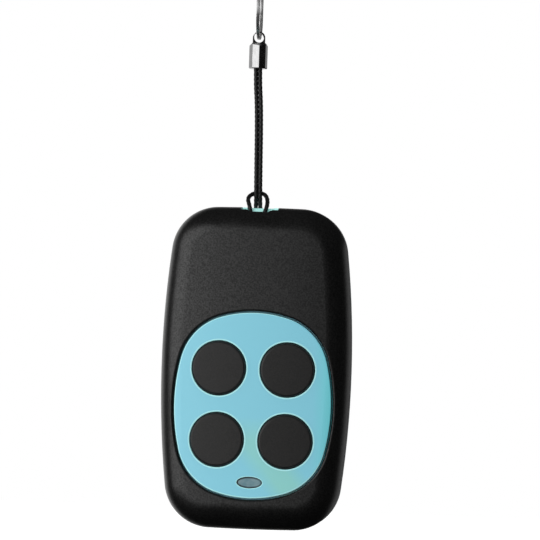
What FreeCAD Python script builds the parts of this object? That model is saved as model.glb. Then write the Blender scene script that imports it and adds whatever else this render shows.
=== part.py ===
import FreeCAD, Part
import math
import os

# Cloning remote control hanging by its split ring.
# Millimetres, +Z up, the keys face -Y, the origin is the centre of the split ring.
# The remote itself is drawn about its own centre and set down below the strap at the end.
# As photographed, the ring and the ferrule are turned a few degrees about Z from the remote's axes,
# and the limp strap leans, so that the remote hangs a little to the right of the ring.

# Case
CASE_RIM = 3.2
CASE_HEIGHT = 61.8
SIDE_BOW_RADIUS = 190.0
END_BOW_RADIUS = 400.0
CASE_CORNER_RADIUS = 9.0
CROWN_RADIUS = 115.0
FRONT_EDGE_RADIUS = 5.0
REAR_EDGE_RADIUS = 3.5
WALL = 1.5
PARTING_Y = 1.0
PARTING_GROOVE_WIDTH = 0.12
PARTING_GROOVE_DEPTH = 0.25
LIP_HEIGHT = 0.9
LIP_WALL = 1.0
LIP_ROOT = 1.2
LIP_SINK = 0.3

# Keys
KEY_RADIUS = 5.1
KEY_GAP = 0.15
KEY_PROUD = 0.3
KEY_EDGE_RADIUS = 0.4
KEY_FLANGE_LIP = 0.8
KEY_FLANGE_THICKNESS = 0.85
KEY_SPACE_X = 1.3
KEY_SPACE_Z = 1.84
KEY_HOLE_EDGE_RADIUS = 0.2
KEY_REST_GAP = 0.05
KEY_STEM_RADIUS = 1.3
KEY_STEM_LENGTH = 0.6
KEY_TRAVEL = 0.35

# Indicator window
LENS_HALF_WIDTH = 2.35
LENS_HALF_HEIGHT = 1.0
LENS_GAP = 0.08
LENS_HOLE_EDGE_RADIUS = 0.12
LENS_PROUD = 0.05
LENS_FLANGE_LIP = 0.45
LENS_FLANGE_THICKNESS = 0.5
LENS_KEY_SPACE = 0.62
LED_LENGTH = 2.0
LED_WIDTH = 1.25
LED_BASE_HEIGHT = 0.35
LED_HEIGHT = 0.8
LENS_TO_LED_GAP = 0.2

# Window in the front shell and the oval face of the inner frame that fills it
PLATE_SIDE_MARGIN = 2.6
PLATE_END_MARGIN = 4.98
PLATE_SIDE_RADIUS = 36.0
PLATE_END_RADIUS = 22.0
PLATE_CORNER_RADIUS = 11.0
PLATE_BOTTOM_MARGIN = 6.1
PLATE_KEY_OFFSET = 0.14
PLATE_RECESS = 0.1
PLATE_THICKNESS = 1.9
PLATE_EDGE_RADIUS = 0.3
PLATE_RIM = 1.2
PLATE_SKIRT = 3.3
WINDOW_GAP = 0.3
WINDOW_EDGE_RADIUS = 0.35

# Inner frame
FRAME_GAP = 0.1
FRAME_WALL = 1.1
FRAME_RIM_GAP = 0.25
POST_RADIUS = 1.0
LOWER_POST_INSET = 1.25
UPPER_POST_INSET = 5.75
UPPER_POST_DROP = 12.9

# Strap pocket in the top end, with its bar
BAR_RADIUS = 0.8
BAR_DROP = 0.9
POCKET_HALF_DEPTH = 3.4
POCKET_HALF_WIDTH = 2.55
POCKET_FLOOR_DROP = 2.1
POCKET_WALL = 1.1
POCKET_SIDE_WALL = 2.05
EAR_WIDTH = 0.95
EAR_HALF_DEPTH = 1.2
EAR_RISE = 0.85
OPENING_GAP = 0.1
NOTCH_TOP_WIDTH = 7.2
NOTCH_BOTTOM_WIDTH = 3.4
NOTCH_DEPTH = 0.95

# Push switches under the keys
SWITCH_SIZE = 5.2
SWITCH_FLOOR = 0.2
SWITCH_SPARE = 0.07
SWITCH_CAVITY_RADIUS = 1.8
COVER_THICKNESS = 0.2
COVER_TAB_WIDTH = 1.6
COVER_TAB_DROP = 0.6
PLUNGER_RADIUS = 1.2
PLUNGER_GAP = 0.12
PLUNGER_FOOT_LIP = 0.4
PLUNGER_FOOT_THICKNESS = 0.22
PLUNGER_PROUD = 1.0
PLUNGER_TOP_GAP = 0.05

# Circuit board
BOARD_THICKNESS = 1.0
BOARD_EDGE_GAP = 0.4
BOARD_SEAT_GAP = 0.05
BOARD_POCKET_GAP = 0.4

# Coin cell, its clip and its contact
CELL_RADIUS = 10.0
CELL_HEIGHT = 3.2
CELL_CAP_RADIUS = 8.8
CELL_CAP_HEIGHT = 0.5
CELL_EDGE = 0.4
CELL_DROP = 17.4
CONTACT_THICKNESS = 0.2
CONTACT_RADIUS = 4.5
CONTACT_SLOT = 1.0
CLIP_THICKNESS = 0.3
CLIP_WIDTH = 7.0
CLIP_GAP = 0.05
CLIP_SIDE_GAP = 0.6
CLIP_FOOT = 2.0
CLIP_ROOM = 0.6

# Case screws and their bosses
SCREW_RADIUS = 0.8
SCREW_GAP = 0.06
SCREW_BITE = 2.6
SCREW_TIP = 0.9
SCREW_HEAD_RADIUS = 1.55
SCREW_HEAD_HEIGHT = 1.2
SCREW_HEAD_GAP = 0.2
SCREW_HEAD_DEPTH = 0.85
PILOT_SPARE = 0.5
CROSS_WIDTH = 0.45
CROSS_LENGTH = 1.7
CROSS_DEPTH = 0.7
FRONT_BOSS_WALL = 1.04
REAR_BOSS_WALL = 0.65
BOSS_HOLE_GAP = 0.2
BOSS_WINDOW_GAP = 0.2
UPPER_SCREW_X = 9.5
UPPER_SCREW_DROP = 6.1

# Parts soldered to the back of the board, in rows below the cell
CHIP_WIDTH = 3.9
CHIP_HEIGHT = 1.4
CHIP_STANDOFF = 0.1
CHIP_LEAD_PITCH = 1.27
CHIP_LEAD_WIDTH = 0.42
CHIP_LEAD_REACH = 1.05
CHIP_LEAD_THICKNESS = 0.2
CHIP_ROW_GAP = 1.6
CONTROLLER_LENGTH = 8.7
CONTROLLER_LEAD_COUNT = 7
CONTROLLER_X = -6.8
MEMORY_LENGTH = 4.9
MEMORY_LEAD_COUNT = 4
MEMORY_X = 5.4
CAN_ROW_GAP = 2.0
CRYSTAL_LENGTH = 11.0
CRYSTAL_WIDTH = 4.6
CRYSTAL_HEIGHT = 3.0
CRYSTAL_FLANGE = 0.3
CRYSTAL_X = -6.3
FILTER_SIZE = 5.0
FILTER_BASE_HEIGHT = 1.0
FILTER_LID_HEIGHT = 0.5
FILTER_LID_INSET = 0.4
FILTER_X = 5.6
TRANSISTOR_LENGTH = 2.9
TRANSISTOR_WIDTH = 1.3
TRANSISTOR_HEIGHT = 1.0
TRANSISTOR_LEAD_REACH = 0.65
TRANSISTOR_X = 11.4
SMALL_ROW_GAP = 0.9
SMALL_PART_LENGTH = 2.0
SMALL_PART_WIDTH = 1.25
SMALL_PART_PITCH = 2.6
RESISTOR_HEIGHT = 0.5
RESISTOR_COUNT = 5
RESISTOR_X = -12.0
CAPACITOR_HEIGHT = 0.9
CAPACITOR_COUNT = 4
CAPACITOR_X = 2.6
ANTENNA_WIRE = 0.8
ANTENNA_HALF_WIDTH = 9.0
ANTENNA_END_DROP = 9.1
ANTENNA_HEIGHT = 2.4
ANTENNA_BEND = 1.2

# Split ring
RING_RADIUS = 6.0
RING_WIRE_WIDTH = 0.9
RING_WIRE_THICKNESS = 0.62
RING_WIRE_EDGE = 0.15
RING_LAYER_GAP = 0.04
RING_STEP_START = -70.0
RING_STEP_END = 70.0
RING_END_GAP = 2.0
RING_STEP_SECTIONS = 9
RING_TURN = 5.5

# Crimped ferrule that joins the strap to the ring
EYE_DROP = 0.1
EYE_GAP = 0.1
EYE_WALL = 0.25
EYE_THICKNESS = 0.9
EYE_HEIGHT = 6.0
FERRULE_RADIUS = 1.8
FERRULE_SIDES = 8
FERRULE_CORNER_RADIUS = 0.18
FERRULE_SHOULDER_START = 4.4
FERRULE_SHOULDER_END = 5.0
FERRULE_BORE_DEPTH = 3.9
FERRULE_BORE_GAP = 0.04
FERRULE_EDGE = 0.15
FERRULE_TURN = 11.0

# Strap cord, doubled and looped round the bar in a lark's head
CORD_DIAMETER = 0.8
STRAP_LENGTH = 27.7
STRAND_X = 0.42
STRAP_SIDESTEP = 1.5
BORE_MOUTH_RUN = 2.0
WRAP_GAP = 0.1
HITCH_SHIFT = -0.2
CORD_END_GAP = 0.1
ARC_SHARE = 0.45

# Sizes that follow from the ones above
KEY_FLANGE_RADIUS = KEY_RADIUS + KEY_FLANGE_LIP
KEY_PITCH_X = 2 * KEY_FLANGE_RADIUS + KEY_SPACE_X
KEY_PITCH_Z = 2 * KEY_FLANGE_RADIUS + KEY_SPACE_Z
PLATE_HALF_WIDTH = KEY_PITCH_X / 2 + KEY_FLANGE_RADIUS + PLATE_SIDE_MARGIN
PLATE_HALF_HEIGHT = KEY_PITCH_Z / 2 + KEY_FLANGE_RADIUS + PLATE_END_MARGIN
CASE_WIDTH = 2 * (PLATE_HALF_WIDTH + CASE_RIM)
SWITCH_BASE_HEIGHT = SWITCH_FLOOR + SWITCH_SPARE + KEY_TRAVEL + PLUNGER_FOOT_THICKNESS + PLUNGER_GAP / 2
PLUNGER_TOP_HEIGHT = SWITCH_BASE_HEIGHT + COVER_THICKNESS + PLUNGER_PROUD
KEY_STACK = KEY_REST_GAP + KEY_FLANGE_THICKNESS + KEY_STEM_LENGTH + PLUNGER_TOP_GAP + PLUNGER_TOP_HEIGHT
CELL_STACK = CONTACT_THICKNESS + CELL_HEIGHT + CLIP_GAP + CLIP_THICKNESS + CLIP_ROOM
CASE_DEPTH = PLATE_RECESS + PLATE_THICKNESS + KEY_STACK + BOARD_THICKNESS + CELL_STACK + WALL
FRONT_BOSS_RADIUS = SCREW_RADIUS + SCREW_GAP + FRONT_BOSS_WALL
REAR_BOSS_RADIUS = SCREW_HEAD_RADIUS + SCREW_HEAD_GAP + REAR_BOSS_WALL
FRAME_INSET = WALL + FRAME_GAP
BOARD_INSET = FRAME_INSET + FRAME_WALL + BOARD_EDGE_GAP
POCKET_BLOCK_HALF_WIDTH = POCKET_HALF_WIDTH + POCKET_SIDE_WALL
POCKET_BLOCK_HALF_DEPTH = POCKET_HALF_DEPTH + POCKET_WALL
EAR_HALF_WIDTH = POCKET_HALF_WIDTH + EAR_WIDTH
WRAP_RADIUS = BAR_RADIUS + WRAP_GAP + CORD_DIAMETER / 2
RING_LAYER_X = (RING_WIRE_THICKNESS + RING_LAYER_GAP) / 2
RING_HALF_THICKNESS = RING_LAYER_X + RING_WIRE_THICKNESS / 2
EYE_HOLE_RADIUS = math.hypot(RING_HALF_THICKNESS, RING_WIRE_WIDTH / 2 + EYE_DROP) + EYE_GAP
EYE_RADIUS = EYE_HOLE_RADIUS + EYE_WALL

# Places that follow, in the remote's own frame
FAR = 100.0
TOUCH = 0.001
SPARE = 2.0
CASE_FRONT_Y = -CASE_DEPTH / 2
CASE_BACK_Y = CASE_DEPTH / 2
CASE_TOP_Z = CASE_HEIGHT / 2
CROWN_AXIS_Y = CASE_FRONT_Y + CROWN_RADIUS
PLATE_Z = -CASE_TOP_Z + PLATE_BOTTOM_MARGIN + PLATE_HALF_HEIGHT
PLATE_BACK_Y = CASE_FRONT_Y + PLATE_RECESS + PLATE_THICKNESS
KEY_UPPER_Z = PLATE_Z + PLATE_KEY_OFFSET + KEY_PITCH_Z / 2
KEY_LOWER_Z = KEY_UPPER_Z - KEY_PITCH_Z
LENS_Z = KEY_LOWER_Z - KEY_FLANGE_RADIUS - LENS_KEY_SPACE - LENS_FLANGE_LIP - LENS_HALF_HEIGHT
FRAME_RIM_Y = PARTING_Y - LIP_HEIGHT - FRAME_RIM_GAP
BAR_Z = CASE_TOP_Z - BAR_DROP
POCKET_FLOOR_Z = BAR_Z - POCKET_FLOOR_DROP
POCKET_BOTTOM_Z = POCKET_FLOOR_Z - POCKET_WALL
BOARD_FRONT_Y = PLATE_BACK_Y + KEY_STACK
BOARD_BACK_Y = BOARD_FRONT_Y + BOARD_THICKNESS
SCREW_SEAT_Y = CASE_BACK_Y - SCREW_HEAD_DEPTH - SCREW_HEAD_HEIGHT
SCREW_TIP_Y = BOARD_FRONT_Y - SCREW_BITE
LOWER_SCREW_Z = PLATE_Z - PLATE_HALF_HEIGHT - WINDOW_GAP - BOSS_WINDOW_GAP - FRONT_BOSS_RADIUS
SWITCH_TOP_Y = BOARD_FRONT_Y - SWITCH_BASE_HEIGHT
PLUNGER_TOP_Y = BOARD_FRONT_Y - PLUNGER_TOP_HEIGHT
CELL_Z = CASE_TOP_Z - CELL_DROP
CELL_FRONT_Y = BOARD_BACK_Y + CONTACT_THICKNESS
CELL_BACK_Y = CELL_FRONT_Y + CELL_HEIGHT
CHIP_HALF_SPAN = CHIP_WIDTH / 2 + CHIP_LEAD_REACH
CHIP_ROW_Z = CELL_Z - CELL_RADIUS - CHIP_ROW_GAP - CHIP_HALF_SPAN
CAN_ROW_Z = CHIP_ROW_Z - CHIP_HALF_SPAN - CAN_ROW_GAP - CRYSTAL_WIDTH / 2
SMALL_ROW_Z = CAN_ROW_Z - CRYSTAL_WIDTH / 2 - SMALL_ROW_GAP - SMALL_PART_LENGTH
ANTENNA_Z = -CASE_TOP_Z + ANTENNA_END_DROP
KEY_PLACES = {
    "upper_left": (-KEY_PITCH_X / 2, KEY_UPPER_Z),
    "upper_right": (KEY_PITCH_X / 2, KEY_UPPER_Z),
    "lower_left": (-KEY_PITCH_X / 2, KEY_LOWER_Z),
    "lower_right": (KEY_PITCH_X / 2, KEY_LOWER_Z),
}
SCREW_PLACES = (
    (-UPPER_SCREW_X, CASE_TOP_Z - UPPER_SCREW_DROP),
    (UPPER_SCREW_X, CASE_TOP_Z - UPPER_SCREW_DROP),
    (0.0, LOWER_SCREW_Z),
)
POST_PLACES = (
    (-PLATE_HALF_WIDTH + LOWER_POST_INSET, PLATE_Z),
    (PLATE_HALF_WIDTH - LOWER_POST_INSET, PLATE_Z),
    (-CASE_WIDTH / 2 + UPPER_POST_INSET, CASE_TOP_Z - UPPER_POST_DROP),
    (CASE_WIDTH / 2 - UPPER_POST_INSET, CASE_TOP_Z - UPPER_POST_DROP),
)

# Places in the hanging object's frame
RING_MID_RADIUS = RING_RADIUS - RING_WIRE_WIDTH / 2
EYE_Z = -RING_MID_RADIUS - EYE_DROP
FERRULE_Z = EYE_Z - EYE_HEIGHT
STRAP_BAR_Z = FERRULE_Z - STRAP_LENGTH
REMOTE_Z = STRAP_BAR_Z - BAR_Z
RING_PLACE = FreeCAD.Vector(0, 0, 0)
FERRULE_PLACE = FreeCAD.Vector(0, 0, FERRULE_Z)
STRAP_PLACE = FreeCAD.Vector(0, 0, STRAP_BAR_Z)
REMOTE_PLACE = FreeCAD.Vector(STRAP_SIDESTEP, 0, REMOTE_Z)


def point(x, y, z):
    return FreeCAD.Vector(x, y, z)


def box(x_low, x_high, y_low, y_high, z_low, z_high):
    corner = point(x_low, y_low, z_low)
    return Part.makeBox(x_high - x_low, y_high - y_low, z_high - z_low, corner)


def rod(radius, x, z, y_low, y_high):
    """Round bar along Y."""
    return Part.makeCylinder(radius, y_high - y_low, point(x, y_low, z), point(0, 1, 0))


def prism(outline, y_low, y_high):
    """Solid of a closed outline in the XZ plane, between two depths."""
    face = Part.Face(outline)
    face.translate(point(0, y_low, 0))
    return face.extrude(point(0, y_high - y_low, 0))


def join(first, *others):
    return first.multiFuse(list(others)).removeSplitter()


def corner_centre(half_width, half_height, side_radius, end_radius, corner_radius):
    """Centre of the corner arc that is tangent to a bowed side and a bowed end."""
    side_x = half_width - side_radius
    end_z = half_height - end_radius
    side_reach = side_radius - corner_radius
    end_reach = end_radius - corner_radius
    apart = math.hypot(side_x, end_z)
    along = (side_reach ** 2 - end_reach ** 2 + apart ** 2) / (2 * apart)
    across = math.sqrt(side_reach ** 2 - along ** 2)
    unit_x = -side_x / apart
    unit_z = end_z / apart
    x = side_x + along * unit_x - across * unit_z
    z = along * unit_z + across * unit_x
    return x, z


def bowed_outline(half_width, half_height, side_radius, end_radius, corner_radius):
    """Rounded rectangle about the origin in the XZ plane, with bowed sides and ends."""
    x, z = corner_centre(half_width, half_height, side_radius, end_radius, corner_radius)
    side_x = half_width - side_radius
    end_z = half_height - end_radius
    side_angle = math.atan2(z, x - side_x)
    end_angle = math.atan2(z - end_z, x)
    middle_angle = (side_angle + end_angle) / 2
    side_point = (side_x + side_radius * math.cos(side_angle), side_radius * math.sin(side_angle))
    end_point = (end_radius * math.cos(end_angle), end_z + end_radius * math.sin(end_angle))
    middle_point = (x + corner_radius * math.cos(middle_angle), z + corner_radius * math.sin(middle_angle))
    edges = []
    for sign_x, sign_z in ((1, 1), (-1, 1), (-1, -1), (1, -1)):
        corner = [point(sign_x * px, 0, sign_z * pz) for px, pz in (side_point, middle_point, end_point)]
        edges.append(Part.Arc(*corner).toShape())
    for sign in (1, -1):
        low = point(sign * side_point[0], 0, -side_point[1])
        high = point(sign * side_point[0], 0, side_point[1])
        edges.append(Part.Arc(low, point(sign * half_width, 0, 0), high).toShape())
        left = point(-end_point[0], 0, sign * end_point[1])
        right = point(end_point[0], 0, sign * end_point[1])
        edges.append(Part.Arc(left, point(0, 0, sign * half_height), right).toShape())
    return Part.Wire(Part.sortEdges(edges)[0])


def case_outline(inset):
    return bowed_outline(
        CASE_WIDTH / 2 - inset,
        CASE_HEIGHT / 2 - inset,
        SIDE_BOW_RADIUS - inset,
        END_BOW_RADIUS - inset,
        CASE_CORNER_RADIUS - inset,
    )


def plate_outline(grow):
    outline = bowed_outline(
        PLATE_HALF_WIDTH + grow,
        PLATE_HALF_HEIGHT + grow,
        PLATE_SIDE_RADIUS + grow,
        PLATE_END_RADIUS + grow,
        PLATE_CORNER_RADIUS + grow,
    )
    outline.translate(point(0, 0, PLATE_Z))
    return outline


def is_round(face, radius):
    return isinstance(face.Surface, Part.Cylinder) and abs(face.Surface.Radius - radius) < TOUCH


def crown_face(shape, radius):
    return [face for face in shape.Faces if is_round(face, radius)][0]


def edges_on_both(shape, first, second):
    """Edges of a solid that lie on the skins of two other solids."""
    found = []
    for edge in shape.Edges:
        middle = Part.Vertex(edge.valueAt((edge.FirstParameter + edge.LastParameter) / 2))
        gaps = [middle.distToShape(solid.Shells[0])[0] for solid in (first, second)]
        if max(gaps) < TOUCH:
            found.append(edge)
    return found


def rounded_rim(shape, first, second, radius):
    """Fillet where two skins meet, made on the right half of a symmetric solid and mirrored."""
    half = shape.common(box(0, FAR, -FAR, FAR, -FAR, FAR))
    rim = [edge for edge in edges_on_both(half, first, second) if edge.BoundBox.XMax > TOUCH]
    half = half.makeFillet(radius, rim)
    return join(half, half.mirror(point(0, 0, 0), point(1, 0, 0)))


def case_body(inset):
    """The case's outer form drawn in by one distance on every side: crowned front, flat back."""
    front = CASE_FRONT_Y + inset
    back = CASE_BACK_Y - inset
    body = prism(case_outline(inset), front - SPARE, back)
    radius = CROWN_RADIUS - inset
    crown = Part.makeCylinder(radius, 2 * CASE_HEIGHT, point(0, CROWN_AXIS_Y, -CASE_HEIGHT), point(0, 0, 1))
    body = body.common(crown)
    body = body.makeFillet(FRONT_EDGE_RADIUS - inset, crown_face(body, radius).Edges)
    back_faces = [face for face in body.Faces if abs(face.BoundBox.YMin - back) < TOUCH]
    return body.makeFillet(REAR_EDGE_RADIUS - inset, back_faces[0].Edges)


def slab(y_low, y_high):
    return box(-FAR, FAR, y_low, y_high, -FAR, FAR)


def parting_groove():
    """Fine groove round the case where its two shells meet."""
    ring = case_body(-PARTING_GROOVE_DEPTH).cut(case_body(PARTING_GROOVE_DEPTH))
    return ring.common(slab(PARTING_Y - PARTING_GROOVE_WIDTH, PARTING_Y + PARTING_GROOVE_WIDTH))


def pocket_opening():
    """Space that the strap pocket takes out of the top wall of both shells."""
    half_width = EAR_HALF_WIDTH + OPENING_GAP
    return box(-half_width, half_width, -POCKET_HALF_DEPTH, POCKET_HALF_DEPTH, POCKET_FLOOR_Z, FAR)


def strap_notch():
    """Tapered notch in the front shell's top edge that shows the strap bar."""
    half_top = NOTCH_TOP_WIDTH / 2
    half_bottom = NOTCH_BOTTOM_WIDTH / 2
    slope = (half_top - half_bottom) / NOTCH_DEPTH
    low = CASE_TOP_Z - NOTCH_DEPTH
    high = CASE_TOP_Z + NOTCH_DEPTH
    half_high = half_bottom + slope * (high - low)
    corners = (
        point(-half_bottom, 0, low),
        point(half_bottom, 0, low),
        point(half_high, 0, high),
        point(-half_high, 0, high),
        point(-half_bottom, 0, low),
    )
    return prism(Part.makePolygon(corners), CASE_FRONT_Y - SPARE, 0)


def make_front_shell():
    outer = case_body(0)
    window = prism(plate_outline(WINDOW_GAP), CASE_FRONT_Y - SPARE, PARTING_Y + SPARE)
    shell = rounded_rim(outer.cut(window), outer, window, WINDOW_EDGE_RADIUS)
    shell = shell.cut(case_body(WALL)).common(slab(-FAR, PARTING_Y))
    trim = case_body(WALL / 2)
    boss_end_y = BOARD_FRONT_Y - BOARD_SEAT_GAP
    bosses = [rod(FRONT_BOSS_RADIUS, x, z, CASE_FRONT_Y, boss_end_y).common(trim) for x, z in SCREW_PLACES]
    shell = join(shell, *bosses)
    for x, z in SCREW_PLACES:
        shell = shell.cut(rod(SCREW_RADIUS + SCREW_GAP, x, z, SCREW_TIP_Y - PILOT_SPARE, PARTING_Y))
    return shell.cut(pocket_opening()).cut(strap_notch()).cut(parting_groove())


def make_rear_shell():
    shell = case_body(0).cut(case_body(WALL)).common(slab(PARTING_Y, FAR))
    inner = case_body(FRAME_INSET + LIP_WALL)
    lip = case_body(FRAME_INSET).cut(inner).common(slab(PARTING_Y - LIP_HEIGHT, PARTING_Y + LIP_ROOT))
    root = case_body(WALL - LIP_SINK).cut(inner).common(slab(PARTING_Y, PARTING_Y + LIP_ROOT))
    shell = join(shell, lip, root)
    trim = case_body(WALL / 2).common(slab(PARTING_Y, FAR)).fuse(case_body(FRAME_INSET))
    boss_start_y = BOARD_BACK_Y + BOARD_SEAT_GAP
    bosses = [rod(REAR_BOSS_RADIUS, x, z, boss_start_y, CASE_BACK_Y).common(trim) for x, z in SCREW_PLACES]
    shell = join(shell, *bosses)
    block_gap = 2 * OPENING_GAP
    half_width = POCKET_BLOCK_HALF_WIDTH + block_gap
    half_depth = POCKET_BLOCK_HALF_DEPTH + block_gap
    block_room = box(-half_width, half_width, -half_depth, half_depth, POCKET_BOTTOM_Z - block_gap, FAR)
    shell = shell.cut(block_room.common(case_body(WALL)))
    for x, z in SCREW_PLACES:
        shell = shell.cut(rod(SCREW_RADIUS + SCREW_HEAD_GAP, x, z, BOARD_FRONT_Y, CASE_BACK_Y))
        shell = shell.cut(rod(SCREW_HEAD_RADIUS + SCREW_HEAD_GAP, x, z, SCREW_SEAT_Y, CASE_BACK_Y + SPARE))
    return shell.cut(pocket_opening()).cut(parting_groove())


def make_pocket_block():
    half_width = POCKET_BLOCK_HALF_WIDTH
    half_depth = POCKET_BLOCK_HALF_DEPTH
    block = box(-half_width, half_width, -half_depth, half_depth, POCKET_BOTTOM_Z, CASE_TOP_Z)
    return block.common(case_body(FRAME_INSET))


def pocket_room():
    """Space inside the strap pocket, open at the top."""
    half_width = POCKET_HALF_WIDTH
    return box(-half_width, half_width, -POCKET_HALF_DEPTH, POCKET_HALF_DEPTH, POCKET_FLOOR_Z, FAR)


def make_bar_ears():
    """Two rounded uprights that carry the ends of the strap bar."""
    ears = []
    for side in (-1, 1):
        low = min(side * POCKET_HALF_WIDTH, side * EAR_HALF_WIDTH)
        upright = box(low, low + EAR_WIDTH, -EAR_HALF_DEPTH, EAR_HALF_DEPTH, POCKET_FLOOR_Z, BAR_Z)
        crest = Part.makeCylinder(EAR_HALF_DEPTH, EAR_WIDTH, point(low, 0, BAR_Z), point(1, 0, 0))
        below = box(-FAR, FAR, -FAR, FAR, -FAR, BAR_Z + EAR_RISE)
        ears.append(join(upright, crest).common(below))
    return ears


def make_strap_bar():
    half_length = POCKET_HALF_WIDTH + EAR_WIDTH / 2
    return Part.makeCylinder(BAR_RADIUS, 2 * half_length, point(-half_length, 0, BAR_Z), point(1, 0, 0))


def lens_outline(grow):
    half_width = LENS_HALF_WIDTH + grow
    half_height = LENS_HALF_HEIGHT + grow
    ellipse = Part.Ellipse(point(half_width, 0, 0), point(0, 0, half_height), point(0, 0, 0))
    outline = Part.Wire(ellipse.toShape())
    outline.translate(point(0, 0, LENS_Z))
    return outline


def rounded_hole(shape, hole, skin, radius):
    """Cut a hole and round its edge on the skin of another solid."""
    shape = shape.cut(hole)
    return shape.makeFillet(radius, edges_on_both(shape, hole, skin))


def make_inner_frame():
    tray = case_body(FRAME_INSET).cut(case_body(FRAME_INSET + FRAME_WALL)).common(slab(-FAR, FRAME_RIM_Y))
    oval = prism(plate_outline(0), CASE_FRONT_Y - SPARE, CASE_FRONT_Y + PLATE_SKIRT)
    plate_form = case_body(PLATE_RECESS)
    plate = rounded_rim(oval.common(plate_form), plate_form, oval, PLATE_EDGE_RADIUS)
    frame = join(tray, plate)
    frame = frame.cut(prism(plate_outline(-PLATE_RIM), PLATE_BACK_Y, FRAME_RIM_Y))
    trim = case_body(FRAME_INSET + FRAME_WALL / 2)
    post_end_y = BOARD_FRONT_Y - BOARD_SEAT_GAP
    posts = [rod(POST_RADIUS, x, z, CASE_FRONT_Y, post_end_y).common(trim) for x, z in POST_PLACES]
    frame = join(frame, make_pocket_block(), *posts, *make_bar_ears()).cut(pocket_room())
    frame = join(frame, make_strap_bar())
    boss_room = FRONT_BOSS_RADIUS + BOSS_HOLE_GAP
    for x, z in SCREW_PLACES:
        frame = frame.cut(rod(boss_room, x, z, CASE_FRONT_Y, PARTING_Y))
    frame = frame.cut(box(-boss_room, boss_room, CASE_FRONT_Y, PARTING_Y, -FAR, LOWER_SCREW_Z))
    hole_end_y = PLATE_BACK_Y + FRAME_WALL
    for x, z in KEY_PLACES.values():
        hole = rod(KEY_RADIUS + KEY_GAP, x, z, CASE_FRONT_Y - SPARE, hole_end_y)
        frame = rounded_hole(frame, hole, plate_form, KEY_HOLE_EDGE_RADIUS)
    lens_hole = prism(lens_outline(LENS_GAP), CASE_FRONT_Y - SPARE, hole_end_y)
    return rounded_hole(frame, lens_hole, plate_form, LENS_HOLE_EDGE_RADIUS)


def make_key(x, z):
    flange_y = PLATE_BACK_Y + KEY_REST_GAP
    stem_y = flange_y + KEY_FLANGE_THICKNESS
    cap = rod(KEY_RADIUS, x, z, CASE_FRONT_Y - SPARE, flange_y + KEY_FLANGE_THICKNESS / 2)
    cap = cap.common(case_body(-KEY_PROUD))
    cap = cap.makeFillet(KEY_EDGE_RADIUS, crown_face(cap, CROWN_RADIUS + KEY_PROUD).Edges)
    flange = rod(KEY_FLANGE_RADIUS, x, z, flange_y, stem_y)
    stem = rod(KEY_STEM_RADIUS, x, z, stem_y, PLUNGER_TOP_Y - PLUNGER_TOP_GAP)
    return join(cap, flange, stem)


def make_switch_base(x, z):
    half = SWITCH_SIZE / 2
    base = box(x - half, x + half, SWITCH_TOP_Y, BOARD_FRONT_Y, z - half, z + half)
    return base.cut(rod(SWITCH_CAVITY_RADIUS, x, z, SWITCH_TOP_Y - SPARE, BOARD_FRONT_Y - SWITCH_FLOOR))


def make_switch_cover(x, z):
    """Steel cover with a round opening and two tabs bent down over the base."""
    half = SWITCH_SIZE / 2
    outer = half + COVER_THICKNESS
    top_y = SWITCH_TOP_Y - COVER_THICKNESS
    cover = box(x - outer, x + outer, top_y, SWITCH_TOP_Y, z - half, z + half)
    half_tab = COVER_TAB_WIDTH / 2
    tab_y = SWITCH_TOP_Y + COVER_TAB_DROP
    left = box(x - outer, x - half, top_y, tab_y, z - half_tab, z + half_tab)
    right = box(x + half, x + outer, top_y, tab_y, z - half_tab, z + half_tab)
    cover = join(cover, left, right)
    return cover.cut(rod(PLUNGER_RADIUS + PLUNGER_GAP, x, z, top_y - SPARE, SWITCH_TOP_Y + COVER_THICKNESS))


def make_switch_plunger(x, z):
    foot_y = SWITCH_TOP_Y + PLUNGER_GAP / 2
    shaft = rod(PLUNGER_RADIUS, x, z, PLUNGER_TOP_Y, foot_y + PLUNGER_FOOT_THICKNESS)
    foot = rod(PLUNGER_RADIUS + PLUNGER_FOOT_LIP, x, z, foot_y, foot_y + PLUNGER_FOOT_THICKNESS)
    return join(shaft, foot)


def make_indicator_lens():
    lens = prism(lens_outline(0), CASE_FRONT_Y - SPARE, PLATE_BACK_Y)
    lens = lens.common(case_body(PLATE_RECESS - LENS_PROUD))
    flange = prism(lens_outline(LENS_FLANGE_LIP), PLATE_BACK_Y, PLATE_BACK_Y + LENS_FLANGE_THICKNESS)
    pipe_end = BOARD_FRONT_Y - LED_HEIGHT - LENS_TO_LED_GAP
    pipe = prism(lens_outline(0), PLATE_BACK_Y + LENS_FLANGE_THICKNESS, pipe_end)
    return join(lens, flange, pipe)


def make_indicator_led():
    half_length = LED_LENGTH / 2
    half_width = LED_WIDTH / 2
    base_y = BOARD_FRONT_Y - LED_BASE_HEIGHT
    base = box(-half_length, half_length, base_y, BOARD_FRONT_Y, LENS_Z - half_width, LENS_Z + half_width)
    top_half_length = half_length - LED_BASE_HEIGHT
    top_y = BOARD_FRONT_Y - LED_HEIGHT
    top = box(-top_half_length, top_half_length, top_y, base_y, LENS_Z - half_width, LENS_Z + half_width)
    return join(base, top)


def make_circuit_board():
    board = prism(case_outline(BOARD_INSET), BOARD_FRONT_Y, BOARD_BACK_Y)
    half_width = POCKET_BLOCK_HALF_WIDTH + BOARD_POCKET_GAP
    low = POCKET_BOTTOM_Z - BOARD_POCKET_GAP
    board = board.cut(box(-half_width, half_width, -CASE_DEPTH, CASE_DEPTH, low, FAR))
    for x, z in SCREW_PLACES:
        board = board.cut(rod(SCREW_RADIUS + SCREW_HEAD_GAP, x, z, -CASE_DEPTH, CASE_DEPTH))
    return board


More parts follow.
